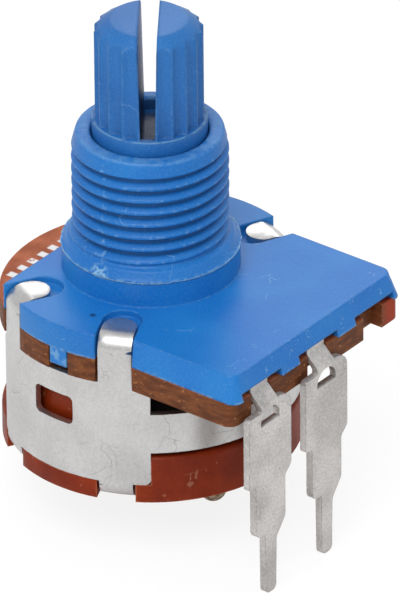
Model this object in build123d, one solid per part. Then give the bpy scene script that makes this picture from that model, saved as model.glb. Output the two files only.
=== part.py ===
from build123d import *
from math import cos, radians, sin
import os

# Single-turn carbon potentiometer with a moulded threaded bushing, a split fluted shaft and two
# long printed-circuit terminals.  Millimetres.  The shaft turns about Z and points up, Z = 0 is the
# top face of the faceplate, and the terminals hang from the edge that faces -Y.

# ---- levels along the shaft axis
shaft_reach = 15.1            # faceplate to the end of the shaft
bushing_height = 8.4          # faceplate to the rim of the bushing
plate_thickness = 1.5
wafer_thickness = 1.4
body_depth = 10.2             # faceplate to the underside of the base

# ---- plan sizes of the faceplate and wafer
plate_half_width = 7.45       # at the foot of the faceplate's sides
plate_front = 11.4            # axis to the foot of the terminal edge
plate_draft = 0.38            # the straight sides lean in by this much to the top
plate_back = 5.0              # axis to the chord that ends the faceplate
corner_r = 0.65
wafer_side_lip = 0.05         # wafer stands this much outside the faceplate's sides
wafer_inset = 0.2             # and this much inside its terminal edge
disc_proud = 0.05             # round part of faceplate and wafer outside the shell
hub_hole_r = 4.05             # hole in the wafer round the shaft's flange

# ---- bushing
crest_r = 4.27                # over the thread crests
rim_taper = 0.27              # the barrel narrows by this much to its rim
rim_taper_height = 1.0
flare_r = 4.84
flare_bottom = 1.5
flare_top = 2.5
mouth_chamfer = 0.14

# ---- shaft
shaft_r = 2.95
journal_r = 3.13
journal_gap = 0.05            # radial running clearance in the bushing
journal_proud = 0.8           # journal shows this much above the rim
bevel_radial = 0.85
bevel_height = 0.6
flute_count = 20
flute_depth = 0.26
flute_r = 0.47
slot_top_width = 1.05
slot_floor_width = 0.82
slot_pit_floor = 7.8          # the slot's deep part, behind the web that closes its near end
slot_web = 0.5
slot_angle = 35.5             # plan direction of the slot as it stands
flange_r = 3.85
flange_height = 1.0
key_r = 2.3
key_flat = 1.8                # half width across the flats of the keyed tail
stake_r = 2.6
stake_height = 0.35

# ---- thrust washer
washer_gauge = 0.2
washer_gap = 0.1              # end float of the shaft

# ---- rotor, wiper and the printed wafer
rest_turn = -52.0             # the shaft stands this far from mid travel
wiper_angle = 90.0 + rest_turn
lug_gap = 0.3                 # between the stop lug and the wall of the base
lug_reach = 0.5               # of the stop lug outside the rotor
rotor_thickness = 1.3
rotor_hub_r = 3.8
rotor_drop = 1.0              # wafer's underside to the rotor's upper face
lower_hub_r = 3.0
lower_hub_height = 1.4
click_ring_inset = 0.4
click_ring_width = 1.4
click_count = 24
click_depth = 0.25
key_gap = 0.02
lug_root = 0.3                # of the stop lug inside the rotor's rim
stop_half_angle = 14.5        # of the rotor's lug, and of the post that it meets
print_gauge = 0.06
track_inset = 0.3             # middle of the track inside the rotor's rim
track_width = 1.0
track_span = 306.0
collector_step = 1.0          # from the middle of the track to the middle of the collector
collector_width = 0.5
land_width = 0.9
land_gap = 0.1                # the end lands run this far outside the track
land_spread = 0.12            # radians, past the ends of the track
land_overlap = 3.0            # degrees, of the end lands on the track
wiper_gauge = 0.15
wiper_tip_gap = 0.08
finger_width = 0.3
finger_pitch = 0.4
finger_reach = 1.8
finger_nose = 0.3
finger_root = 0.2
wiper_bar = 0.9
wiper_bar_margin = 1.0
wiper_bar_back = 0.35
wiper_shift = 0.1
wiper_pin_r = 0.25

# ---- terminals and their rivets
pitch = 5.0
terminal_gauge = 0.4
terminal_face = 11.85         # axis to the outer face of the blades
neck_face = 11.1
neck_width = 1.5
neck_drop = 0.75              # height over which the neck leans out to the blade
blade_width = 3.7
blade_step = 2.6
pin_width = 1.0
blade_end = 6.9               # faceplate to the first step
blade_shoulder = 0.7          # wafer's top to the shoulders
shoulder_drop = 0.3           # the left shoulder is this much lower
step_offset = 0.35            # the right steps are this much lower than the left ones
step_lift = 0.4               # and the second one this much higher
pin_lift = 0.6
pin_taper = 0.06
hole_drop = 0.2               # shoulders to the top of the window
hole_share = 1.35             # the window's height as a share of its radius
pin_reach = 14.0              # faceplate to the tips
hole_r = 0.82                 # half-round window at the root of the neck
leaf_width = 2.6
leaf_length = 2.6
leaf_back = 7.35
rivet_y = 8.7
rivet_r = 0.6
rivet_head_r = 1.0
rivet_head = 0.25
rivet_edge = 0.15
notch_width = 1.65
notch_depth = 0.75
port_width = 3.45             # shallow cut-out in the faceplate's front edge
fit_gap = 0.1                 # general clearance round a seated piece

# ---- shell
shell_r = 8.2
shell_gauge = 0.4
shell_foot = 9.1              # faceplate to the lower edge of the side walls
wall_half_angle = 37.0        # side walls, each way from the X axis
band_top = 4.7
band_bottom = 7.1
band_lap = 4.0                # degrees, of the front band into each wall
window_top = 4.3
window_bottom = 6.0
window_half_width = 1.3
window_angle = -3.0           # each window's middle, from the X axis
wall_corner = 0.35
window_corner = 0.3
tab_back_angles = (27.0, 151.0)    # plan angles of the two rear tabs
tab_front_angles = (203.5, 336.5)  # and of the two front ones
tab_width = 1.87
tab_length = 2.2              # shell's outside to the end of a folded tab
tab_bend = 0.6
tab_sunk = 0.02               # folded tabs lie this much below the faceplate's top
tab_half_sweep = 14.0
tab_root = 0.3
recess_length = 3.0           # shell's outside to the end of a tab's recess
recess_gap = 0.14             # each side of a tab
tooth_width = 1.1
tooth_length = 1.0
tooth_depth = 0.7

# ---- base
base_floor = 1.2
front_lip = 7.4               # faceplate to the top of the front lip
back_lip = 8.4
lip_wall = 0.7
lip_round = 0.25
cup_gap = 0.35                # between the shell and the base's side walls
cup_wall = 0.85
post_gap = 0.15               # between the rotor and the stop post
base_overlap = 0.2            # walls and lips start this far inside the floor
tab_relief = 0.4

# ---- click spring
spring_gauge = 0.2
spring_rise = 1.3
spring_inset = 0.1            # the spring's ring lies this far inside the rotor's click ring
spring_crown = 0.9
spring_flat = 1.2
pip_height = 0.1
pip_r = 0.35
click_gap = 0.1
spring_rivet_angle = 247.0
spring_rivet_inset = 1.6      # front rivet inside the shell's outside, in the open front
spring_back_rivet_inset = 0.8 # back rivet inside the wall of the base
spring_rivet_head = 0.3
spring_rivet_shank = 0.45
spring_rivet_head_r = 0.62
spring_rivet_tail_r = 0.75
spring_rivet_neck = 0.55      # plain part of the front tail above its dome
spring_back_rivet_neck = 0.05
spring_rivet_tail = 0.75
ear_half_width = 0.68

# ---- levels worked out from the sizes above
wafer_top = -plate_thickness
wafer_bottom = wafer_top - wafer_thickness
print_bottom = wafer_bottom - print_gauge
base_bottom = -body_depth
floor_top = base_bottom + base_floor
rim = bushing_height
journal_top = rim + journal_proud
bore_r = journal_r + journal_gap
flange_top = wafer_top - washer_gauge - washer_gap
flange_bottom = flange_top - flange_height
rotor_top = wafer_bottom - rotor_drop
rotor_bottom = rotor_top - rotor_thickness
hub_bottom = rotor_bottom - lower_hub_height
spring_top = floor_top + spring_rise + spring_gauge
click_ring_bottom = spring_top + pip_height + click_gap
shell_in = shell_r - shell_gauge
cup_r = shell_in - cup_gap
cup_in = cup_r - cup_wall
base_r = shell_r
disc_r = shell_r + disc_proud
lug_r = cup_in - lug_gap
rotor_r = lug_r - lug_reach
track_r = rotor_r - track_inset
collector_r = track_r - collector_step
click_ring_out = rotor_r - click_ring_inset
click_ring_in = click_ring_out - click_ring_width
spring_out = click_ring_out - spring_inset
spring_in = click_ring_in + spring_inset
spring_rivet_r = shell_r - spring_rivet_inset
spring_back_rivet_r = cup_in - spring_back_rivet_inset
post_in_r = rotor_r + post_gap
tab_end_r = shell_r - tab_length
recess_end_r = shell_r - recess_length
wafer_front = plate_front - wafer_inset
wafer_half_width = plate_half_width + wafer_side_lip
post_top = rotor_top - fit_gap
leaf_top = wafer_top + terminal_gauge
tab_angles = [*tab_back_angles, *tab_front_angles]
spring_rivets = [(spring_rivet_angle, spring_rivet_r), (spring_rivet_angle - 180, spring_back_rivet_r)]
terminal_x = {"end": -pitch, "wiper": 0.0}


def ring(outer, inner, low, high, start=0.0, span=360.0):
    """A ring or part of one about Z, from one level to another."""
    section = Plane.XZ * Pos((outer + inner) / 2, (low + high) / 2) * Rectangle(outer - inner, high - low)
    return Rot(0, 0, start) * revolve(section, Axis.Z, revolution_arc=span)


def disc(radius, low, high):
    """A plain round disc about Z."""
    return Pos(0, 0, (low + high) / 2) * Cylinder(radius, high - low)


def prism(sketch, low, high):
    """A plan outline carried from one level to another."""
    return extrude(Pos(0, 0, low) * sketch, amount=high - low)


def radial_block(angle, inner, outer, width, low, high, round_end=False):
    """A straight-sided block that points outwards at a plan angle, with a round inner end if asked."""
    length = outer - inner
    block = Pos((inner + outer) / 2, 0, (low + high) / 2) * Box(length, width, high - low)
    if round_end:
        nose = inner + width / 2
        block = Pos((nose + outer) / 2, 0, (low + high) / 2) * Box(outer - nose, width, high - low)
        block += Pos(nose, 0, (low + high) / 2) * Cylinder(width / 2, high - low)
    return Rot(0, 0, angle) * block


def square_front(half, front):
    """Plan of the straight-sided part that carries the terminals, with its two round corners."""
    square = Pos(0, -front / 2) * Rectangle(2 * half, front)
    return fillet(square.vertices().sort_by(Axis.Y)[0:2], corner_r)


def tab_notches(low, high):
    """Slots through an edge for the upright stretch of each top tab."""
    width = tab_width + 2 * recess_gap
    inner = shell_in - fit_gap / 2
    return [radial_block(angle, inner, disc_r + 1, width, low, high) for angle in tab_angles]


def make_housing():
    """Bushing, flare and faceplate, moulded in one piece."""
    taper = rim - rim_taper_height
    barrel = disc(crest_r, flare_bottom, taper)
    barrel += Pos(0, 0, (taper + rim) / 2) * Cone(crest_r, crest_r - rim_taper, rim_taper_height)
    flare = Pos(0, 0, (flare_bottom + flare_top) / 2) * Cone(flare_r, crest_r, flare_top - flare_bottom)
    collar = disc(flare_r, -plate_thickness / 2, flare_bottom)
    reach = 2 * (disc_r + plate_front)
    keep = Pos(0, plate_back - reach / 2) * Rectangle(reach, reach)
    foot = Pos(0, 0, wafer_top) * square_front(plate_half_width, plate_front)
    top = square_front(plate_half_width - plate_draft, plate_front - plate_draft)
    plate = (loft([foot, top]) + disc(disc_r, wafer_top, 0)) & prism(keep, wafer_top, 0)
    body = plate + collar + flare + barrel
    body -= disc(bore_r, wafer_top, rim)
    mouth = Pos(0, 0, rim - mouth_chamfer / 2) * Cone(bore_r, bore_r + mouth_chamfer, mouth_chamfer)
    body -= mouth
    for angle in tab_angles:
        width = tab_width + 2 * recess_gap
        floor = -shell_gauge - tab_sunk
        body -= radial_block(angle, recess_end_r, disc_r + 1, width, floor, 1.0, round_end=True)
        body -= radial_block(angle, shell_in - fit_gap / 2, disc_r + 1, width, wafer_top, 1.0)
        slope = [(shell_in - tab_bend - fit_gap, floor), (disc_r + 1, floor),
                 (disc_r + 1, floor - tab_bend), (shell_in - fit_gap / 2, floor - tab_bend)]
        wedge = extrude(Plane.XZ * make_face(Polyline(*slope, close=True)), width / 2, both=True)
        body -= Rot(0, 0, angle) * wedge
    for angle in (0, 180):
        body += radial_block(angle, disc_r - tooth_depth, disc_r - tab_sunk, tooth_width,
                             wafer_top - tooth_length, wafer_top)
    for x in (-pitch, 0, pitch):
        back = leaf_back - fit_gap
        pocket = Pos(x, -plate_front, (wafer_top + leaf_top) / 2)
        body -= pocket * Box(port_width, 2 * (plate_front - back), terminal_gauge + fit_gap)
        head = Pos(x, -rivet_y, leaf_top + rivet_head / 2)
        body -= head * Cylinder(rivet_head_r + fit_gap, rivet_head + 2 * fit_gap)
    return body


def make_shaft():
    """Split fluted shaft with its journal, thrust flange and keyed, heat-staked tail."""
    knob_end = disc(shaft_r, journal_top, shaft_reach)
    top_edge = knob_end.edges().filter_by(GeomType.CIRCLE).sort_by(Axis.Z)[-1]
    knob_end = chamfer(top_edge, bevel_height, bevel_radial, reference=knob_end.faces().sort_by(Axis.X)[0])
    height = shaft_reach - journal_top
    for index in range(flute_count):
        angle = slot_angle + 360 / flute_count * index
        centre = shaft_r - flute_depth + flute_r
        cutter = Pos(centre, 0, journal_top + height / 2) * Cylinder(flute_r, height)
        knob_end -= Rot(0, 0, angle) * cutter
    half_top = slot_top_width / 2
    half_floor = slot_floor_width / 2
    slot = Polyline((-half_floor, journal_top), (half_floor, journal_top),
                    (half_top, shaft_reach), (-half_top, shaft_reach), close=True)
    cutter = extrude(Plane.XZ * make_face(slot), 2 * shaft_r, both=True)
    knob_end -= Rot(0, 0, slot_angle - 90) * cutter
    journal = disc(journal_r, flange_bottom, journal_top)
    pit = radial_block(slot_angle, slot_web - journal_r, 2 * journal_r, slot_floor_width,
                       slot_pit_floor, journal_top)
    journal -= pit
    flange = disc(flange_r, flange_bottom, flange_top)
    key = Circle(key_r) & Rectangle(3 * key_r, 2 * key_flat)
    tail = Rot(0, 0, wiper_angle) * prism(key, hub_bottom, flange_bottom)
    stake = disc(stake_r, hub_bottom - stake_height, hub_bottom)
    return knob_end + journal + flange + tail + stake


def make_washer():
    """Thin thrust washer between the faceplate and the shaft's flange."""
    return ring(flange_r, bore_r, wafer_top - washer_gauge, wafer_top)


def make_rotor():
    """Wiper carrier: disc, stop lug and the toothed ring that rides on the click spring."""
    body = disc(rotor_r, rotor_bottom, rotor_top)
    body += disc(rotor_hub_r, rotor_top, flange_bottom)
    body += disc(lower_hub_r, hub_bottom, rotor_bottom)
    body += ring(click_ring_out, click_ring_in, click_ring_bottom, rotor_bottom)
    body += ring(lug_r, rotor_r - lug_root, rotor_bottom, rotor_top, wiper_angle - stop_half_angle,
                 2 * stop_half_angle)
    key = Circle(key_r + key_gap) & Rectangle(3 * key_r, 2 * (key_flat + key_gap))
    body -= Rot(0, 0, wiper_angle) * prism(key, hub_bottom, flange_bottom)
    for index in range(click_count):
        groove = Pos((click_ring_in + click_ring_out) / 2, 0, click_ring_bottom)
        side = click_depth * 2 ** 0.5
        tooth = Rot(45, 0, 0) * Box(2 * click_ring_width, side, side)
        body -= Rot(0, 0, 360 / click_count * index) * groove * tooth
    for place in wiper_pins():
        body += place * Pos(0, 0, rotor_top + wiper_gauge) * Cylinder(wiper_pin_r, 2 * wiper_gauge)
    return body


def wiper_pins():
    """Places of the two moulded pins that hold the wiper on the rotor."""
    across = (collector_r, track_r)
    along = -finger_reach - wiper_bar_back
    return [Rot(0, 0, wiper_angle) * Pos(r - wiper_shift, along, 0) for r in across]


def make_wiper():
    """Stamped spring that bridges the collector and the track with two pairs of fingers."""
    low = rotor_top
    root = finger_reach
    width = track_r - collector_r + wiper_bar_margin
    middle = (track_r + collector_r) / 2 - wiper_shift
    place = Rot(0, 0, wiper_angle) * Pos(middle, -root - wiper_bar_back, low + wiper_gauge / 2)
    body = place * Box(width, wiper_bar, wiper_gauge)
    tip = print_bottom - wiper_tip_gap
    nose = finger_nose
    heel = -root - finger_root
    side = Polyline((heel, low), (-root, low), (-nose, tip - 2 * wiper_gauge),
                    (0, tip - wiper_gauge), (nose, tip - 2 * wiper_gauge), (nose, tip - wiper_gauge),
                    (0, tip), (-nose, tip - wiper_gauge), (-root, low + wiper_gauge),
                    (heel, low + wiper_gauge), close=True)
    finger = extrude(Plane.YZ * make_face(side), finger_width / 2, both=True)
    for radius in (collector_r, track_r):
        for offset in (-finger_pitch / 2, finger_pitch / 2):
            body += Rot(0, 0, wiper_angle) * Pos(radius + offset, 0, 0) * finger
    for place in wiper_pins():
        body -= place * Pos(0, 0, low) * Cylinder(wiper_pin_r + key_gap, 4 * wiper_gauge)
    return body


def make_wafer():
    """Phenolic paper board that carries the printed track and the terminals."""
    outline = Circle(disc_r) + square_front(wafer_half_width, wafer_front)
    body = prism(outline, wafer_bottom, wafer_top)
    body -= disc(hub_hole_r, wafer_bottom, wafer_top)
    for block in tab_notches(wafer_bottom, wafer_top):
        body -= block
    for angle in (0, 180):
        body -= radial_block(angle, disc_r - tooth_depth - fit_gap, disc_r + 1, tooth_width + 2 * fit_gap,
                             wafer_bottom, wafer_top)
    for x in (-pitch, 0, pitch):
        cut = Pos(x, -wafer_front, (wafer_bottom + wafer_top) / 2)
        body -= cut * Box(notch_width, 2 * notch_depth, wafer_thickness)
        body -= Pos(x, -rivet_y, (wafer_bottom + wafer_top) / 2) * Cylinder(rivet_r, wafer_thickness)
    return body


def make_track():
    """Printed carbon track on the underside of the wafer, open towards the terminals."""
    return ring(track_r + track_width / 2, track_r - track_width / 2, print_bottom, wafer_bottom,
                270 + (360 - track_span) / 2, track_span)


def land(x_from, y_from, x_to, y_to):
    """A straight printed conductor with round ends."""
    run = Line((x_from, y_from), (x_to, y_to))
    strip = SlotCenterToCenter(run.length, land_width)
    angle = run.tangent_angle_at(0)
    middle = run @ 0.5
    return prism(Pos(middle.X, middle.Y) * Rot(0, 0, angle) * strip, print_bottom, wafer_bottom)


def make_collector():
    """Silver collector ring and its conductor to the wiper terminal."""
    body = ring(collector_r + collector_width / 2, collector_r - collector_width / 2,
                print_bottom, wafer_bottom)
    body += land(0, -collector_r, 0, -rivet_y)
    hole = Pos(0, -rivet_y, wafer_bottom) * Cylinder(rivet_r, wafer_thickness)
    return body - hole - disc(collector_r - collector_width / 2, print_bottom, wafer_bottom)


def make_end_lands():
    """Silver lands from the two ends of the track to the end terminal and to the vacant place."""
    turn = radians((360 - track_span) / 2 + land_overlap) + land_spread
    start_r = track_r + track_width / 2 + land_width / 2 + land_gap
    body = []
    for side in (-1, 1):
        piece = land(side * start_r * sin(turn), -start_r * cos(turn), side * pitch, -rivet_y)
        piece -= Pos(side * pitch, -rivet_y, wafer_bottom) * Cylinder(rivet_r, wafer_thickness)
        piece -= disc(track_r + track_width / 2, print_bottom, wafer_bottom)
        body.append(piece)
    return body


def make_terminal(x):
    """Tinned blade: leaf on the wafer, neck through its notch, jog, shoulders and a long pin."""
    gauge = terminal_gauge
    foot = -pin_reach
    jog_bottom = wafer_top - neck_drop
    inner_neck = neck_face - gauge
    inner_face = terminal_face - gauge
    side = [(-leaf_back, wafer_top), (-inner_neck, wafer_top), (-inner_face, jog_bottom),
            (-inner_face, foot), (-terminal_face, foot), (-terminal_face, jog_bottom),
            (-neck_face, wafer_top), (-neck_face, leaf_top), (-leaf_back, leaf_top)]
    bends = [0, 0.05, 0.3, 0, 0, 0.3, 0.1, 0.2, 0]
    strip = extrude(Plane.YZ * make_face(FilletPolyline(*side, radius=bends, close=True)), blade_width,
                    both=True)
    half = blade_width / 2
    step = blade_step / 2
    neck = neck_width / 2
    pin = pin_width / 2
    tip = pin - pin_taper
    shoulder = wafer_top - blade_shoulder
    low_shoulder = shoulder - shoulder_drop
    first = -blade_end
    second = -body_depth
    front = [(-neck, 0), (-neck, low_shoulder), (-half, low_shoulder), (-half, first),
             (-step, first), (-step, second), (-pin, second), (-tip, foot),
             (tip, foot), (pin, second - pin_lift), (step, second + step_lift), (step, first - step_offset),
             (half, first + fit_gap), (half, shoulder), (neck, shoulder), (neck, 0)]
    rounds = [0, 0.1, 0.25, 0.15, 0.1, 0.5, 0.05, 0.33, 0.33, 0.5, 0.5, 0.4, 0.4, 0.85, 0.1, 0]
    outline = make_face(FilletPolyline(*front, radius=rounds, close=True))
    blank = extrude(Plane.XZ * outline, 2 * terminal_face)
    body = strip & blank
    hole = Circle(hole_r) & Pos(0, hole_r / 2) * Rectangle(3 * hole_r, hole_share * hole_r)
    window = Pos(0, -terminal_face, shoulder - hole_drop - hole_r)
    body -= window * extrude(Plane.XZ * hole, 2 * gauge, both=True)
    leaf = Pos(0, -leaf_back - leaf_length / 2, (wafer_top + leaf_top) / 2)
    body += leaf * Box(leaf_width, leaf_length, gauge)
    body -= Pos(0, -rivet_y, wafer_top) * Cylinder(rivet_r, 4 * gauge)
    return Pos(x, 0, 0) * body


def make_terminal_rivet(x):
    """Rivet that clamps a terminal's leaf to the wafer and to its printed land."""
    body = disc(rivet_r, print_bottom - rivet_head, leaf_top + rivet_head)
    upper = disc(rivet_head_r, leaf_top, leaf_top + rivet_head)
    upper = fillet(upper.edges().sort_by(Axis.Z)[-1], rivet_edge)
    lower = disc(rivet_head_r, print_bottom - rivet_head, print_bottom)
    lower = fillet(lower.edges().sort_by(Axis.Z)[0], rivet_edge)
    return Pos(x, -rivet_y, 0) * (body + upper + lower)


def tab_strip(low_side):
    """Section of a bent tab, spun about Z; the straight sides are cut by the caller."""
    outer = tab_bend + shell_gauge
    if low_side:
        face = base_bottom
        bend = face + outer
        root = -shell_foot + tab_root
        pts = [(shell_r, root), (shell_r, bend), (shell_r - outer, face),
               (tab_end_r - 1, face), (tab_end_r - 1, face + shell_gauge),
               (shell_r - outer, face + shell_gauge), (shell_in, bend), (shell_in, root)]
    else:
        face = -tab_sunk
        bend = face - outer
        root = wafer_bottom - tab_root
        pts = [(shell_r, root), (shell_r, bend), (shell_r - outer, face),
               (tab_end_r - 1, face), (tab_end_r - 1, face - shell_gauge),
               (shell_r - outer, face - shell_gauge), (shell_in, bend), (shell_in, root)]
    radius = outer
    centre = (shell_r - outer, bend)
    up = -1 if low_side else 1
    middle_out = (centre[0] + radius * cos(radians(45)), centre[1] + up * radius * sin(radians(45)))
    middle_in = (centre[0] + tab_bend * cos(radians(45)), centre[1] + up * tab_bend * sin(radians(45)))
    edges = [Line(pts[0], pts[1]), ThreePointArc(pts[1], middle_out, pts[2]), Line(pts[2], pts[3]),
             Line(pts[3], pts[4]), Line(pts[4], pts[5]), ThreePointArc(pts[5], middle_in, pts[6]),
             Line(pts[6], pts[7]), Line(pts[7], pts[0])]
    section = Plane.XZ * make_face(edges)
    return Rot(0, 0, -tab_half_sweep) * revolve(section, Axis.Z, revolution_arc=2 * tab_half_sweep)


def folded_tab(angle, low_side):
    """One bent tab at a plan angle, over the faceplate or under the base."""
    low, high = (base_bottom - 1, 0) if low_side else (wafer_bottom - 1, 1)
    sides = radial_block(0, tab_end_r, shell_r + 1, tab_width, low, high, round_end=True)
    return Rot(0, 0, angle) * (tab_strip(low_side) & sides)


def side_wall(start, window, angles):
    """One side of the shell: a round wall with its window and two pairs of tabs."""
    wall = ring(shell_r, shell_in, -shell_foot, wafer_bottom, start, 2 * wall_half_angle)
    corners = wall.edges().filter_by(lambda e: e.length < shell_gauge * 1.2)
    wall = fillet(corners, wall_corner)
    middle = -(window_top + window_bottom) / 2
    height = window_bottom - window_top
    frame = fillet(Rectangle(2 * window_half_width, height).vertices(), window_corner)
    cutter = extrude(Plane.YZ * Pos(0, middle) * frame, 2 * shell_gauge, both=True)
    wall -= Rot(0, 0, window) * Pos(shell_r, 0, 0) * cutter
    for angle in angles:
        wall += folded_tab(angle, False)
        wall += folded_tab(angle, True)
    return wall


def make_shell():
    """Tinned steel wrap: two side walls, a front band, and tabs folded over the plate and base."""
    rear_right, rear_left = tab_back_angles
    front_left, front_right = tab_front_angles
    left = side_wall(180 - wall_half_angle, 180 + window_angle, (rear_left, front_left))
    right = side_wall(-wall_half_angle, -window_angle, (rear_right, front_right))
    band = ring(shell_r, shell_in, -band_bottom, -band_top, 180 + wall_half_angle - band_lap,
                180 - 2 * wall_half_angle + 2 * band_lap)
    return left + band + right


def make_base():
    """Moulded phenolic cup: floor, a wall open at the front, low lips front and back, a stop post."""
    body = disc(base_r, base_bottom, floor_top)
    for start in (-wall_half_angle, 180 - wall_half_angle):
        body -= ring(base_r + 1, cup_r, -shell_foot, floor_top + 1, start, 2 * wall_half_angle)
    body += ring(cup_r, cup_in, floor_top - base_overlap, wafer_bottom, -wall_half_angle,
                 180 + 2 * wall_half_angle)
    lips = []
    for start, top in ((180 + wall_half_angle, -front_lip), (wall_half_angle, -back_lip)):
        lip = ring(base_r, base_r - lip_wall, floor_top - base_overlap, top, start,
                   180 - 2 * wall_half_angle)
        rims = lip.edges().filter_by(GeomType.CIRCLE).group_by(Axis.Z)[-1]
        lips.append(fillet(rims, lip_round))
    for lip in lips:
        body += lip
    body += ring(base_r - lip_wall / 2, post_in_r, floor_top, post_top, 270 - stop_half_angle,
                 2 * stop_half_angle) - ring(base_r + 1, base_r - lip_wall, -front_lip, 0)
    for angle in tab_angles:
        width = tab_width + 2 * recess_gap
        edge = shell_in - fit_gap / 2
        body -= radial_block(angle, edge, base_r + 1, width, base_bottom, -shell_foot + tab_relief)
        body -= radial_block(angle, tab_end_r - recess_gap, base_r + 1, width, base_bottom,
                             base_bottom + shell_gauge + tab_sunk, round_end=True)
        outer = tab_bend + fit_gap
        face = base_bottom + shell_gauge
        slope = [(shell_in - outer, face), (base_r + 1, face), (base_r + 1, face + outer),
                 (shell_in - fit_gap / 2, face + outer)]
        wedge = extrude(Plane.XZ * make_face(Polyline(*slope, close=True)), width / 2, both=True)
        body -= Rot(0, 0, angle) * wedge
    for angle, radius in spring_rivets:
        hole = Pos(radius, 0, base_bottom + base_floor / 2) * Cylinder(spring_rivet_shank, base_floor)
        body -= Rot(0, 0, angle) * hole
    return body


def make_click_spring():
    """Annular leaf, bent up on both sides of its two rivets, with a pip on each crown."""
    plan = Circle(spring_out) - Circle(spring_in)
    places = (spring_rivet_r, -spring_back_rivet_r)
    for x in places:
        plan += Pos(x / 2, 0) * Rectangle(abs(x), 2 * ear_half_width) - Circle(spring_in)
        plan += Pos(x, 0) * Circle(ear_half_width)
    blank = prism(plan, floor_top, floor_top + 2 * spring_rise)
    low = floor_top
    high = floor_top + spring_rise
    crown = spring_out - spring_crown
    pts = [(-spring_out, high), (-crown, high), (-spring_flat, low), (spring_flat, low), (crown, high),
           (spring_out, high)]
    upper = [(y, z + spring_gauge) for y, z in reversed(pts)]
    strip = extrude(Plane.YZ * make_face(Polyline(*pts, *upper, close=True)), 2 * base_r, both=True)
    body = blank & strip
    for side in (-1, 1):
        dome = Pos(0, side * (spring_in + spring_out) / 2, spring_top)
        body += dome * Cylinder(pip_r, 2 * pip_height)
    for x in places:
        body -= Pos(x, 0, floor_top) * Cylinder(spring_rivet_shank, 4 * spring_gauge)
    return Rot(0, 0, spring_rivet_angle) * body


def make_spring_rivet(angle, radius, neck):
    """Rivet through the base: flat head on the spring, domed tail below the floor."""
    seat = base_bottom - neck
    dome = Pos(0, 0, seat) * Sphere(spring_rivet_tail_r)
    tail = dome & disc(2 * spring_rivet_tail_r, seat - spring_rivet_tail, seat)
    tail += disc(spring_rivet_tail_r, seat, base_bottom)
    shank = disc(spring_rivet_shank, base_bottom, floor_top + spring_gauge)
    top = floor_top + spring_gauge
    head = disc(spring_rivet_head_r, top, top + spring_rivet_head)
    head = fillet(head.edges().sort_by(Axis.Z)[-1], rivet_edge)
    return Rot(0, 0, angle) * Pos(radius, 0, 0) * (shank + tail + head)


parts = {
    "bushing_plate": make_housing(),
    "shaft": make_shaft(),
    "thrust_washer": make_washer(),
    "rotor": make_rotor(),
    "wiper": make_wiper(),
    "resistor_wafer": make_wafer(),
    "carbon_track": make_track(),
    "collector_print": make_collector(),
    "end_lands": Compound(children=make_end_lands()),
    "shell": make_shell(),
    "base": make_base(),
    "click_spring": make_click_spring(),
    "click_spring_rivet_front": make_spring_rivet(*spring_rivets[0], spring_rivet_neck),
    "click_spring_rivet_back": make_spring_rivet(*spring_rivets[1], spring_back_rivet_neck),
}
for name, x in terminal_x.items():
    parts[name + "_terminal"] = make_terminal(x)
    parts[name + "_terminal_rivet"] = make_terminal_rivet(x)

os.makedirs("parts", exist_ok=True)
for name, solid in parts.items():
    export_step(solid, "parts/" + name + ".step")
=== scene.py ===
from math import cos, pi, radians, sin, tau

import bmesh
import bpy
from mathutils import Matrix, Vector, noise


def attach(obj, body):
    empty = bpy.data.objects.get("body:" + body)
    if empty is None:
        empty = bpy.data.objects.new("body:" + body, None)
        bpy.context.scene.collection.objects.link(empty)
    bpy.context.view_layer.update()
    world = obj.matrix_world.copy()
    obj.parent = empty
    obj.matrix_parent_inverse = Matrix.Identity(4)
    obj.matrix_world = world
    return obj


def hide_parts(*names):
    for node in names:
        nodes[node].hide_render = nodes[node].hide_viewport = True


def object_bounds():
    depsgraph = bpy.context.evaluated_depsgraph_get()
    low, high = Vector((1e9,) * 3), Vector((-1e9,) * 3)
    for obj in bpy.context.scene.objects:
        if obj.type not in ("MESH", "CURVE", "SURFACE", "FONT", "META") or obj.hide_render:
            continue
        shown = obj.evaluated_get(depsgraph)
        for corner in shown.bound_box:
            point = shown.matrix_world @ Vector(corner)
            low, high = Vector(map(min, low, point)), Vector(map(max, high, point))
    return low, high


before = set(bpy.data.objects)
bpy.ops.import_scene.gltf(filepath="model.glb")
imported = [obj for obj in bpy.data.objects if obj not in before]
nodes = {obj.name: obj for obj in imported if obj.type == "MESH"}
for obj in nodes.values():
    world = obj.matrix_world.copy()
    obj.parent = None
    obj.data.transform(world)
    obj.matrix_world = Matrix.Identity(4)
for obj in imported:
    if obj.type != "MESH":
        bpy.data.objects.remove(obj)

cad_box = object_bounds()

# ---- Studio
# A pale table with soft light from all round, a large soft lamp above the front left and a strip
# behind.  The part stands on the tips of its two terminals, as it would on a bench.
mm = 0.001
scene = bpy.context.scene
scene.view_settings.view_transform = "Standard"

view_turn = radians(-52.3)          # 0 looks along +Y
view_height = radians(30.5)
view_roll = 0.009                   # radians
view_distance = 700 * mm
view_span = 32.1 * mm               # height of the picture at the part
aim_right = 2.62 * mm
aim_down = 1.89 * mm
back = Vector((sin(view_turn) * cos(view_height), -cos(view_turn) * cos(view_height),
               sin(view_height)))
right = Vector((cos(view_turn), sin(view_turn), 0))
up = back.cross(right)
aim = right * aim_right - up * aim_down
tilted_right = right * cos(view_roll) - up * sin(view_roll)
tilted_up = back.cross(tilted_right)
camera_data = bpy.data.cameras.new("camera")
camera_data.lens = camera_data.sensor_width * view_distance / view_span
camera_data.clip_start = 10 * mm
camera_data.clip_end = 20
camera = bpy.data.objects.new("camera", camera_data)
camera.matrix_world = Matrix.Translation(aim + back * view_distance) @ Matrix(
    (tilted_right, tilted_up, back)).transposed().to_4x4()
scene.collection.objects.link(camera)
scene.camera = camera


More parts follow.
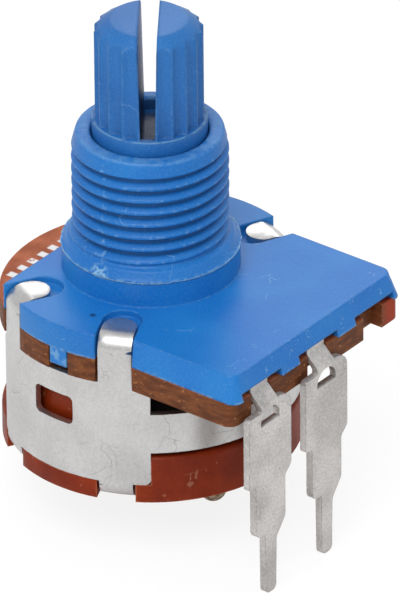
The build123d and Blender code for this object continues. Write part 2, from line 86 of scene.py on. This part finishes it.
def lamp(name, place, target, width, height, watts):
    """A soft rectangular lamp that faces a point."""
    data = bpy.data.lights.new(name, "AREA")
    data.shape = "RECTANGLE"
    data.size = width
    data.size_y = height
    data.energy = watts
    light = bpy.data.objects.new(name, data)
    light.location = place
    light.rotation_mode = "QUATERNION"
    light.rotation_quaternion = (Vector(target) - Vector(place)).to_track_quat("-Z", "Y")
    scene.collection.objects.link(light)


lamp("key", place=(-0.30, -0.10, 0.42), target=(0, 0, 0), width=0.30, height=0.30, watts=1.5)
lamp("rear_strip", place=(0.34, 0.22, 0.20), target=(0, 0, 0), width=0.30, height=0.12,
     watts=0.3)


class Tone:
    """A socket in a material's tree.  Arithmetic on it adds Math nodes."""

    def __init__(self, tree, socket):
        self.tree = tree
        self.socket = socket

    def node(self, kind, settings=None, sockets=None, take=0):
        """Any node: its settings are made first, then the values or links of its sockets."""
        made = self.tree.nodes.new("ShaderNode" + kind)
        for name, value in (settings or {}).items():
            if name == "stops":
                ramp = made.color_ramp.elements
                ramp.remove(ramp[1])
                ramp[0].position, ramp[0].color = value[0]
                for place, colour in value[1:]:
                    ramp.new(place).color = colour
            else:
                setattr(made, name, value)
        for name, value in (sockets or {}).items():
            if isinstance(value, Tone):
                self.tree.links.new(value.socket, made.inputs[name])
            else:
                made.inputs[name].default_value = value
        return Tone(self.tree, made.outputs[take])

    def maths(self, operation, first, second):
        return self.node("Math", {"operation": operation}, {0: first, 1: second})

    def __add__(self, other):
        return self.maths("ADD", self, other)

    def __sub__(self, other):
        return self.maths("SUBTRACT", self, other)

    def __rsub__(self, other):
        return self.maths("SUBTRACT", other, self)

    def __mul__(self, other):
        return self.maths("MULTIPLY", self, other)

    def __pow__(self, other):
        return self.maths("POWER", self, other)

    __radd__ = __add__
    __rmul__ = __mul__


def join_output(tree, shader):
    """Joins a shader to the tree's output."""
    output = tree.nodes.new("ShaderNodeOutputMaterial")
    tree.links.new(shader.socket, output.inputs["Surface"])


sky_strength = 0.86
world = bpy.data.worlds.new("studio")
scene.world = world
world.use_nodes = True
world.node_tree.nodes.clear()
sky = Tone(world.node_tree, None)
rays = sky.node("LightPath").socket.node.outputs
seen = Tone(sky.tree, rays["Is Camera Ray"]) + Tone(sky.tree, rays["Is Transmission Ray"])
direction = sky.node("TexCoord", None, None, "Generated")
height_above = sky.node("SeparateXYZ", None, {0: direction}, "Z")
ambient = sky.node("ValToRGB", {"stops": [
    (0.0, (0.42, 0.42, 0.43, 1)), (0.45, (0.60, 0.60, 0.61, 1)), (0.62, (0.92, 0.92, 0.93, 1)),
    (1.0, (0.80, 0.80, 0.81, 1))]}, {0: height_above * 0.5 + 0.5})
soft = sky.node("Background", None, {"Color": ambient, "Strength": sky_strength})
plain = sky.node("Background", None, {"Color": (1, 1, 1, 1), "Strength": 1.0})
backdrop = sky.node("MixShader", None, {0: seen, 1: soft, 2: plain})
world_output = world.node_tree.nodes.new("ShaderNodeOutputWorld")
world.node_tree.links.new(backdrop.socket, world_output.inputs["Surface"])

floor_reach = 1.5
floor_gap = 0.01 * mm
floor_height = cad_box[0].z - floor_gap
floor_mesh = bpy.data.meshes.new("table")
floor_mesh.from_pydata([(x, y, floor_height) for x, y in (
    (-floor_reach, -floor_reach), (floor_reach, -floor_reach),
    (floor_reach, floor_reach), (-floor_reach, floor_reach))], [], [(0, 1, 2, 3)])
table = bpy.data.objects.new("table", floor_mesh)
scene.collection.objects.link(table)
paper_glow = 1.06
glow_share = 0.80
paper = bpy.data.materials.new("pale_table")
paper.use_nodes = True
paper.node_tree.nodes.clear()
sheet = Tone(paper.node_tree, None)
rays = sheet.node("LightPath").socket.node.outputs
lit = sheet.node("BsdfDiffuse", None, {"Color": (0.80, 0.80, 0.80, 1)})
glow = sheet.node("Emission", None, {"Color": (1, 1, 1, 1), "Strength": paper_glow})
seen = Tone(sheet.tree, rays["Is Camera Ray"]) + Tone(sheet.tree, rays["Is Transmission Ray"])
surface = sheet.node("MixShader", None, {0: seen * glow_share, 1: lit, 2: glow})
join_output(sheet.tree, surface)
floor_mesh.materials.append(paper)

# ---- Faceplate with its threaded bushing
# One injection moulding in blue nylon.  The thread is a fine right-hand one, moulded and not cut,
# so its crests are a little ragged at the mould's parting line, and a thin fin of flash stands
# round the foot of the flare.
blue_body = (10, 106, 186)
blue_sheen = (26, 118, 192)
# chalk_blue goes on pale marks and wear and on the painted highlight of the thread crests; deep_blue
# goes on pips and dirt and on painted shade in recesses.
chalk_blue = (134, 178, 208)
deep_blue = (6, 36, 78)
crest_radius = 4.27 * mm
thread_root = 3.86 * mm
thread_pitch = 0.75 * mm
thread_low = 2.0 * mm
thread_high = 7.78 * mm
flare_radius = 4.84 * mm
flare_low = 1.5 * mm
flare_high = 2.5 * mm
seam_height = 1.44 * mm
rim_height = 8.4 * mm
rim_break = 0.09 * mm
rim_taper = 0.27 * mm
rim_taper_height = 1.0 * mm
bore_radius = 3.18 * mm
mouth_break = 0.14 * mm
parting_angle = radians(179)
parting_width = 0.05                # radians
seat_overlap = 0.04 * mm            # the bushing starts this far inside the faceplate
crest_wear = 0.012 * mm
grain_height = 0.014 * mm
ragged_height = 0.010 * mm
parting_height = 0.03 * mm
root_flat = 0.06                    # shares of half a pitch
flank_width = 0.80
flank_rounding = 0.35
run_in = 0.35 * mm                  # the thread fades over these at its two ends
run_out = 0.3 * mm
full_depth = 0.41 * mm
flare_curve = 0.8
fin_foot = 0.045 * mm               # below the foot of the flare
fin_top = 0.05 * mm                 # above it
fin_section = ((0.6, -0.02, 0.0), (1.0, 0.02, 0.5), (0.35, 0.035, 0.0))
thread_rows = 164
rim_rows = 4
face_rows = 3
rim_wave = 0.02 * mm
face_wave = 0.022 * mm
ring_points = 360


def linear(colour):
    """Red, green and blue from 0 to 255, as the shaders take them."""
    parts = [c / 255 for c in colour]
    return tuple(c / 12.92 if c < 0.04045 else ((c + 0.055) / 1.055) ** 2.4 for c in parts) + (1.0,)


def finish_on(name):
    """A new material: itself, its place in millimetres as a Tone, and a function that ends it."""
    made = bpy.data.materials.new(name)
    made.use_nodes = True
    tree = made.node_tree
    tree.nodes.clear()
    start = Tone(tree, None)
    metres = start.node("TexCoord", None, None, "Object")
    place = start.node("VectorMath", {"operation": "SCALE"}, {0: metres, "Scale": 1000.0})

    def end(**sockets):
        named = {socket.replace("_", " "): value for socket, value in sockets.items()}
        join_output(tree, start.node("BsdfPrincipled", None, named))
        return made

    return place, end


def cloud(place, scale, detail=3.0, stretch=(1, 1, 1), contrast=0.5):
    """Soft noise from 0 to 1 with a grain of about 1 / scale millimetres."""
    spread = place.node("VectorMath", {"operation": "MULTIPLY"}, {0: place, 1: stretch})
    return place.node("TexNoise", None,
                      {"Vector": spread, "Scale": scale, "Detail": detail, "Roughness": contrast})


def band(value, low, high):
    """0 below low, 1 above high, smooth between; low may be the greater."""
    return value.node("MapRange", {"interpolation_type": "SMOOTHSTEP"},
                      {"Value": value, "From Min": low, "From Max": high})


def mixed(mask, first, second):
    """The first colour where the mask is 0, the second where it is 1."""
    sockets = {0: mask, 6: first, 7: second}
    return mask.node("Mix", {"data_type": "RGBA"}, sockets, 2)


def corners(place, radius):
    """1 on edges and in corners, over about the radius in millimetres, and 0 on open faces."""
    rounded = place.node("Bevel", {"samples": 6}, {"Radius": radius * mm})
    sharp = place.node("NewGeometry", None, None, "Normal")
    alike = place.node("VectorMath", {"operation": "DOT_PRODUCT"}, {0: rounded, 1: sharp}, "Value")
    return band(alike, 0.99, 0.86)


def scratches(place, size, thickness, amount):
    """Hairline scratches in loose patches."""
    shift = place.node("TexNoise", None, {"Vector": place, "Scale": 0.8}, 1)
    bent = place.node("VectorMath", {"operation": "ADD"}, {0: place, 1: shift})
    cells = place.node("TexVoronoi", {"feature": "DISTANCE_TO_EDGE"},
                       {"Vector": bent, "Scale": 1 / size})
    patches = band(cloud(place, 0.55, 2), 1 - amount, 1.05 - amount)
    return band(cells, thickness, thickness * 0.3) * patches


def specks(place, spacing, radius, share):
    """Round specks on a share of the cells of a loose grid."""
    cells = place.node("TexVoronoi", None, {"Vector": place, "Scale": 1 / spacing})
    drawn = Tone(place.tree, cells.socket.node.outputs["Color"])
    chosen = place.node("SeparateColor", None, {0: drawn})
    dots = band(cells, radius / spacing, radius / spacing * 0.55)
    return dots * band(chosen, 1 - share, 1.001 - share)


def relief(height, distance):
    """A Bump of so many millimetres."""
    return height.node("Bump", None, {"Height": height, "Distance": distance * mm})


def spot(place, x, y, z, radius):
    """1 within a radius in millimetres of one point."""
    away = place.node("VectorMath", {"operation": "DISTANCE"}, {0: place, 1: (x, y, z)}, "Value")
    return band(away, radius, radius * 0.4)


def axes_of(place):
    """The three coordinates of a place."""
    outputs = place.node("SeparateXYZ", None, {0: place}).socket.node.outputs
    return [Tone(place.tree, outputs[i]) for i in range(3)]


def moulded_blue(name, body, sheen, soft_edge, marks):
    """Blue nylon with a satin skin; marks gives the pale, dark and rough places of a piece, painted
    highlight and painted shade among them.
    """
    place, end = finish_on(name)
    axes = axes_of(place)
    broad = band(cloud(place, 0.16, 2), 0.35, 0.65)
    fine = cloud(place, 9, 4)
    colour = mixed(broad, linear(body), linear(sheen))
    colour = mixed(band(fine, 0.42, 0.75) * 0.10, colour, linear(chalk_blue))
    rubbed = corners(place, 0.10) * band(cloud(place, 2.6, 4), 0.44, 0.66)
    pale, dark, rough = marks(place, axes)
    pale = pale + rubbed * 0.35 + scratches(place, 3.4, 0.009, 0.38) * 0.35
    pale = pale + specks(place, 0.9, 0.035, 0.07) * 0.5
    dirt = specks(place, 1.9, 0.045, 0.16) * 0.6
    # The dark places hold the painted shade of the thread roots, bore and slot as well as pips and
    # dirt; the pale places hold the painted highlight on the thread crests as well as wear and marks.
    colour = mixed(dark.maths("MINIMUM", dark + dirt, 1.0), colour, linear(deep_blue))
    colour = mixed(pale.maths("MINIMUM", pale, 1.0), colour, linear(chalk_blue))
    skin = fine * 0.4 + cloud(place, 2.2, 3) + pale * 0.5 - dark * 1.5
    eased = place.node("Bevel", {"samples": 6}, {"Radius": soft_edge * mm})
    bumped = skin.node("Bump", None, {"Height": skin, "Distance": 0.010 * mm, "Normal": eased})
    return end(Base_Color=colour, Roughness=0.34 + fine * 0.14 + rough, Normal=bumped, IOR=1.5,
               Specular_IOR_Level=0.30)


def plate_marks(place, axes):
    """Pale foot and flecks, a graze, and the dark pips of the ejectors."""
    _, along, level = axes
    foot = band(level, -1.34, -1.47) * band(cloud(place, 2.4, 5), 0.42, 0.60)
    pips = spot(place, -5.34, 3.87, 0, 0.22) + spot(place, -6.3, -0.9, 0, 0.24)
    flecks = band(along, -8.6, -10.4) * band(cloud(place, 1.5, 5), 0.60, 0.70) * band(
        cloud(place, 9, 3), 0.5, 0.62)
    graze = spot(place, 2.4, -6.1, 0, 0.75) * scratches(place, 0.9, 0.03, 0.9)
    return foot * 0.5 + flecks * 0.55 + graze * 0.6, pips * 0.75, 0.0


def bushing_marks(place, axes):
    """Dark thread roots and bore as painted shade; pale crests as a painted highlight; pale rim, flash
    and parting line.
    """
    across, along, level = axes
    radius = (across * across + along * along) ** 0.5
    # Painted shade: darker in the thread roots, up to the rim.
    root_shade = band(radius, 4.10, 3.88) * band(radius, 3.55, 3.7) * band(level, 8.2, 7.9)
    # Painted highlight: paler in patches on the thread crests.
    crest_highlight = band(radius, 4.16, 4.26) * band(cloud(place, 3.2, 5), 0.54, 0.66) * band(level, 1.9, 2.4)
    rim_face = band(level, 8.20, 8.38) * band(cloud(place, 2.2, 5), 0.25, 0.70)
    flash = band(radius, 4.845, 4.88) * band(cloud(place, 4.5, 4), 0.34, 0.50)
    fringe = band(radius, 4.72, 4.84) * band(level, 1.44, 1.5) * band(cloud(place, 3.0, 5), 0.46, 0.62)
    knot = spot(place, -4.75, -0.1, 1.6, 0.7) * band(cloud(place, 5, 4), 0.42, 0.55)
    line = band(along.maths("ABSOLUTE", along, 0), 0.16, 0.04) * band(across, -3.9, -4.1) * band(
        cloud(place, 4, 4), 0.50, 0.62)
    # Painted shade: darker down the bore.
    bore = band(radius, 3.24, 3.19)
    pale = crest_highlight * 0.22 + rim_face * 0.30 + flash + fringe * 0.5 + knot * 0.7 + line * 0.45
    return pale, root_shade * 0.50 + bore * 0.5, rim_face * 0.15


def shaft_marks(place, axes):
    """A pale ring on the journal and painted shade in the slot, darker towards the axis and deeper
    down.
    """
    across, along, level = axes
    radius = (across * across + along * along) ** 0.5
    ring = band(level, 9.12, 9.19) * band(radius, 3.0, 3.06) * band(cloud(place, 1.6, 3), 0.3, 0.5)
    # Painted shade: darker deep in the slot of the split end.
    slot_shade = band(radius, 2.95, 2.2) * band(level, 12.5, 9.0)
    return ring * 0.35, slot_shade * 0.8, 0.0


def new_piece(name, mesh, *, body="body", stands_for=(), material=None):
    """Puts a mesh in the scene as a piece that rides on a body."""
    piece = bpy.data.objects.new(name, mesh)
    scene.collection.objects.link(piece)
    if material:
        mesh.materials.clear()
        mesh.materials.append(material)
    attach(piece, body)
    if stands_for:
        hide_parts(*stands_for)
    return piece


def soften(piece, width, segments=2, angle=32):
    """Joins a piece's split vertices and breaks its sharp edges by a width in millimetres."""
    weld = piece.modifiers.new("weld", "WELD")
    weld.merge_threshold = 0.0005 * mm
    edge = piece.modifiers.new("edge_break", "BEVEL")
    edge.width = width * mm
    edge.segments = segments
    edge.limit_method = "ANGLE"
    edge.angle_limit = radians(angle)
    edge.miter_outer = "MITER_ARC"
    edge.harden_normals = False
    even = piece.modifiers.new("even_normals", "WEIGHTED_NORMAL")
    even.weight = 60
    even.keep_sharp = False


plate_mesh = nodes["bushing_plate"].data.copy()
shape = bmesh.new()
shape.from_mesh(plate_mesh)
bmesh.ops.remove_doubles(shape, verts=shape.verts, dist=0.0005 * mm)
everything = shape.verts[:] + shape.edges[:] + shape.faces[:]
bmesh.ops.bisect_plane(shape, geom=everything, dist=1e-8, plane_co=(0, 0, seam_height),
                       plane_no=(0, 0, 1), clear_outer=True)
open_edges = [e for e in shape.edges if e.is_boundary and e.verts[0].co.z > seam_height - 1e-6]
bmesh.ops.bridge_loops(shape, edges=open_edges)
bmesh.ops.dissolve_limit(shape, angle_limit=radians(0.5), verts=shape.verts, edges=shape.edges)
for face in shape.faces:
    face.smooth = True
shape.to_mesh(plate_mesh)
shape.free()
if "custom_normal" in plate_mesh.attributes:
    plate_mesh.attributes.remove(plate_mesh.attributes["custom_normal"])
plate_blue = moulded_blue("blue_nylon_plate", blue_body, blue_sheen, 0.16, plate_marks)
faceplate = new_piece("faceplate", plate_mesh, stands_for=["bushing_plate"],
                      material=plate_blue)
soften(faceplate, 0.13, 3)


def grain_at(turn, scale, height):
    """Smooth noise from -1 to 1 round the axis."""
    return noise.noise(Vector((cos(turn) * scale, sin(turn) * scale, height)))


def thread_radius(turn, level):
    """Radius of the moulded thread at a turn about the axis and a level."""
    phase = ((level - thread_low) / thread_pitch - turn / tau) % 1.0
    rise = abs(phase - 0.5) * 2
    share = min(1.0, max(0.0, (rise - root_flat) / flank_width))
    rounded = share * share * (3 - 2 * share)
    share = (1 - flank_rounding) * share + flank_rounding * rounded
    grain = grain_at(turn, 9, level / mm * 3.5)
    ragged = grain_at(turn, 26, level / mm * 9)
    seam = max(0.0, 1 - abs((turn - parting_angle + pi) % tau - pi) / parting_width)
    taper = (level - rim_height + rim_taper_height) / rim_taper_height
    taper = min(1.0, max(0.0, taper))
    uneven = grain_height * grain + (ragged_height + parting_height * seam) * ragged
    outer = crest_radius - rim_taper * taper + (uneven - crest_wear) * share
    fade = min(1.0, max(0.0, (level - thread_low) / run_in),
               max(0.0, (thread_high - level) / run_out))
    if level < flare_high:
        climb = (level - flare_low) / (flare_high - flare_low)
        outer = flare_radius + (outer - flare_radius) * climb ** flare_curve
    depth = outer - thread_root
    return outer - depth * (1 - share) * fade * min(1.0, depth / full_depth)


def fin(turn):
    """How far the flash stands out at the foot of the flare."""
    rag = grain_at(turn, 9, 0) + 0.6 * grain_at(turn, 31, 0) + 0.35 * grain_at(turn, 70, 0)
    left = max(0.0, 1 - abs(turn - radians(181)) / 0.22)
    rear = max(0.0, 1 - abs(turn - radians(282)) / 0.28)
    return max(0.012, 0.055 + 0.05 * rag + 0.05 * left + 0.04 * rear) * mm


def level_ring(radius, level):
    """A ring with one radius and one level."""
    return [(radius, level)] * ring_points


def barrel_rings():
    """Rings of the bushing from its seat on the collar, up the outside and down the bore."""
    turns = [tau * i / ring_points for i in range(ring_points)]
    rings = [level_ring(flare_radius, seam_height - seat_overlap),
             level_ring(flare_radius, flare_low - fin_foot)]
    for reach, rise, lift in fin_section:
        rings.append([(flare_radius + fin(t) * reach, flare_low + rise * mm + fin(t) * lift)
                      for t in turns])
    thread_foot = flare_low + fin_top
    for i in range(thread_rows + 1):
        level = thread_foot + (rim_height - rim_break - thread_foot) * i / thread_rows
        rings.append([(thread_radius(t, level), level) for t in turns])
    rim_radius = crest_radius - rim_taper - crest_wear
    for i in range(1, rim_rows + 1):
        bend = i / rim_rows * pi / 2
        radius = rim_radius - rim_break * (1 - cos(bend))
        level = rim_height - rim_break * (1 - sin(bend))
        rings.append([(radius, level + rim_wave * grain_at(t, 12, i)) for t in turns])
    outer = rim_radius - rim_break
    for i in range(1, face_rows + 1):
        radius = outer - (outer - bore_radius - mouth_break) * i / face_rows
        rings.append([(radius, rim_height + face_wave * grain_at(t, 14, 3 + i)) for t in turns])
    rings.append(level_ring(bore_radius, rim_height - mouth_break))
    rings.append(level_ring(bore_radius, seam_height - seat_overlap))
    return rings


def lathe(rings):
    """A closed surface through rings of points; the last ring joins the first."""
    points = []
    for ring in rings:
        for i, (radius, level) in enumerate(ring):
            turn = tau * i / len(ring)
            points.append((radius * cos(turn), radius * sin(turn), level))
    count = len(rings[0])
    faces = []
    for row in range(len(rings)):
        low, high = row * count, (row + 1) % len(rings) * count
        for i in range(count):
            j = (i + 1) % count
            faces.append((low + i, low + j, high + j, high + i))
    mesh = bpy.data.meshes.new("turned")
    mesh.from_pydata(points, [], faces)
    mesh.polygons.foreach_set("use_smooth", [True] * len(faces))
    mesh.set_sharp_from_angle(angle=radians(50))
    return mesh


bushing_blue = moulded_blue("blue_nylon_thread", (16, 104, 180), (28, 114, 188), 0.05,
                            bushing_marks)
new_piece("threaded_bushing", lathe(barrel_rings()),
          stands_for=["bushing_plate"], material=bushing_blue)

# ---- Shaft
# Blue nylon, moulded with twenty flutes and a split end that springs a knob on.
shaft_blue = moulded_blue("blue_nylon_shaft", (22, 94, 164), (34, 106, 174), 0.30, shaft_marks)


def dress(name, material, width=None, segments=2, angle=32):
    """Gives a CAD node its finish and breaks its edges."""
    piece = nodes[name]
    for holder in piece.material_slots:
        holder.material = material
    if width:
        soften(piece, width, segments, angle)


dress("shaft", shaft_blue, 0.07, 3)

# ---- Resistor wafer
# Punched phenolic paper board: brown, fibrous on its cut edges, with white ink marks at the rear. The
# cut edges are painted a darker brown than the faces, as painted shade.
place, end = finish_on("phenolic_paper")
across, along, _ = axes_of(place)
normal = place.node("NewGeometry", None, None, "Normal")
facing = place.node("SeparateXYZ", None, {0: normal}, 2)
flat = band(facing.node("Math", {"operation": "ABSOLUTE"}, {0: facing}), 0.6, 0.9)
layers = cloud(place, 1.1, 4, (1, 1, 3))
# Painted shade: the cut edges are a darker brown than the faces; their layers and chips are real.
shaded_edge_colour = mixed(band(layers, 0.30, 0.75), linear((86, 44, 20)), linear((122, 70, 36)))
chips = band(cloud(place, 3.1, 5, (1, 1, 2.0)), 0.62, 0.70)
shaded_edge_colour = mixed(chips * 0.5, shaded_edge_colour, linear((190, 132, 88)))
top_colour = mixed(band(cloud(place, 0.9, 4), 0.35, 0.7), linear((150, 74, 40)),
                   linear((178, 98, 62)))
colour = mixed(flat, shaded_edge_colour, top_colour)
warm = band(across, 5.6, 6.6) * band(along, -7.0, -9.5)
colour = mixed(warm * 0.8, colour, linear((158, 50, 20)))
step = across.maths("PINGPONG", across + 0.35, 0.45)
row = band(along, 6.25, 6.4) * band(along, 7.15, 7.0)
row = row * band(across, 2.3, 2.1) * band(across, -4.2, -4.0)
ink = band(step, 0.17, 0.26) * row * band(facing, 0.6, 0.9) * band(cloud(place, 5, 3), 0.30, 0.42)
colour = mixed(ink, colour, linear((232, 228, 224)))
board = end(Base_Color=colour, Roughness=0.46 + layers * 0.25, Specular_IOR_Level=0.22,
            Normal=relief(layers * 0.6 + cloud(place, 8, 3) * 0.4, 0.03))
dress("resistor_wafer", board, 0.03)

# ---- Printed track, collector and lands
# Screen-printed on the wafer's underside: resistor ink in a matt black ring, and silver ink for
# the collector and the end lands.
place, end = finish_on("carbon_ink")
grain = cloud(place, 14, 3)
carbon = end(Base_Color=mixed(grain, linear((16, 16, 17)), linear((44, 42, 42))),
             Roughness=0.5 + grain * 0.3, Normal=relief(grain, 0.006))
dress("carbon_track", carbon)
place, end = finish_on("silver_ink")
grain = cloud(place, 11, 4)
silver = end(Base_Color=mixed(grain, linear((150, 148, 142)), linear((212, 210, 204))),
             Metallic=0.7, Roughness=0.4 + grain * 0.25, Normal=relief(grain, 0.008))
dress("collector_print", silver)
dress("end_lands", silver)

# ---- Thrust washer, rotor, wiper and click spring
# A steel washer under the shaft's flange, a black moulded carrier with its bronze wiper, and the
# bronze click spring riveted to the base.
place, end = finish_on("washer_steel")
grain = cloud(place, 5, 4, (1, 1, 4))
steel = end(Base_Color=mixed(grain, linear((150, 150, 150)), linear((196, 195, 193))),
            Metallic=0.9, Roughness=0.28 + grain * 0.25)
dress("thrust_washer", steel)
place, end = finish_on("black_phenolic")
grain = cloud(place, 7, 4)
worn = corners(place, 0.08) * band(cloud(place, 3, 3), 0.4, 0.7)
black = end(Base_Color=mixed(worn * 0.5 + grain * 0.2, linear((18, 15, 14)), linear((70, 62, 58))),
            Roughness=0.45 + grain * 0.2, Normal=relief(grain, 0.01))
dress("rotor", black, 0.05)
place, end = finish_on("spring_bronze")
grain = cloud(place, 4, 4, (1, 4, 1))
bronze = end(Base_Color=mixed(grain, linear((142, 96, 52)), linear((196, 150, 96))),
             Metallic=0.95, Roughness=0.28 + grain * 0.2, Normal=relief(grain, 0.006))
dress("wiper", bronze)
dress("click_spring", bronze)

# ---- Shell
# Bright tinplate, blanked and wrapped round the body.  Its tabs are folded over the faceplate and
# under the base; the press leaves a fine burr round every opening and the tin takes small marks.


def tinned(name, low, high, edge, speck_share, metal, rough):
    """Tin with soft blotches, dark edges, pits and hairline marks."""
    place, end = finish_on(name)
    broad = cloud(place, 0.35, 3)
    fine = cloud(place, 6.5, 5, contrast=0.65)
    blotches = band(broad, 0.3, 0.7) * 0.5 + band(fine, 0.35, 0.7) * 0.5
    colour = mixed(blotches, linear(low), linear(high))
    rims = corners(place, 0.09)
    colour = mixed(rims * band(cloud(place, 2.8, 4), 0.36, 0.62) * 0.75, colour, linear(edge))
    pits = specks(place, 0.42, 0.045, speck_share) * band(cloud(place, 1.1, 3), 0.40, 0.60)
    marks = scratches(place, 1.7, 0.010, 0.46)
    colour = mixed(pits * 0.75, colour, linear((82, 78, 74)))
    colour = mixed(marks * 0.45, colour, linear((112, 108, 104)))
    dents = broad * 0.8 + fine * 0.25 - pits * 0.4 - marks * 0.3
    return end(Base_Color=colour, Metallic=metal, Roughness=rough + fine * 0.18 + pits * 0.2,
               Normal=relief(dents, 0.02))


tinplate = tinned("bright_tinplate", (194, 193, 191), (220, 219, 218), (70, 63, 58),
                  speck_share=0.20, metal=0.96, rough=0.24)
dress("shell", tinplate, 0.05, 2, 40)

# ---- Terminals and their rivets
# Blanked brass strip under dull tin, each with its leaf riveted to the wafer, a neck that leans
# out through the wafer's notch, two steps and a pin for the printed circuit.
dull_tin = tinned("dull_tinned_brass", (170, 167, 164), (224, 221, 218), (84, 78, 72),
                  speck_share=0.46, metal=0.80, rough=0.34)
for name in ("end_terminal", "wiper_terminal"):
    dress(name, dull_tin, 0.06, 3)
place, end = finish_on("rivet_brass")
grain = cloud(place, 5, 4)
tarnish = mixed(band(grain, 0.35, 0.65), linear((104, 86, 66)), linear((178, 160, 136)))
rivet_brass = end(Base_Color=tarnish, Metallic=0.8, Roughness=0.3 + grain * 0.25,
                  Normal=relief(grain, 0.03))
for name in ("end_terminal_rivet", "wiper_terminal_rivet", "click_spring_rivet_front",
             "click_spring_rivet_back"):
    dress(name, rivet_brass)

# ---- Base
# Compression-moulded phenolic cup, dark red-brown, its lips rubbed pale where the mould closed.
place, end = finish_on("red_phenolic")
broad = cloud(place, 0.5, 3)
fine = cloud(place, 7, 4)
colour = mixed(band(broad, 0.3, 0.7), linear((110, 32, 6)), linear((132, 44, 12)))
colour = mixed(band(fine, 0.5, 0.8) * 0.2, colour, linear((150, 80, 48)))
rubbed = corners(place, 0.16) * band(cloud(place, 1.8, 5), 0.34, 0.66)
scuff = scratches(place, 1.9, 0.018, 0.42) * 0.5 + band(cloud(place, 2.4, 5), 0.66, 0.72) * 0.5
colour = mixed(rubbed * 0.7, colour, linear((186, 122, 88)))
colour = mixed(scuff * 0.5, colour, linear((196, 150, 120)))
phenolic = end(Base_Color=colour, Roughness=0.32 + fine * 0.2 + rubbed * 0.15,
               Specular_IOR_Level=0.16, Normal=relief(broad + fine * 0.3, 0.02))
dress("base", phenolic, 0.08, 3)
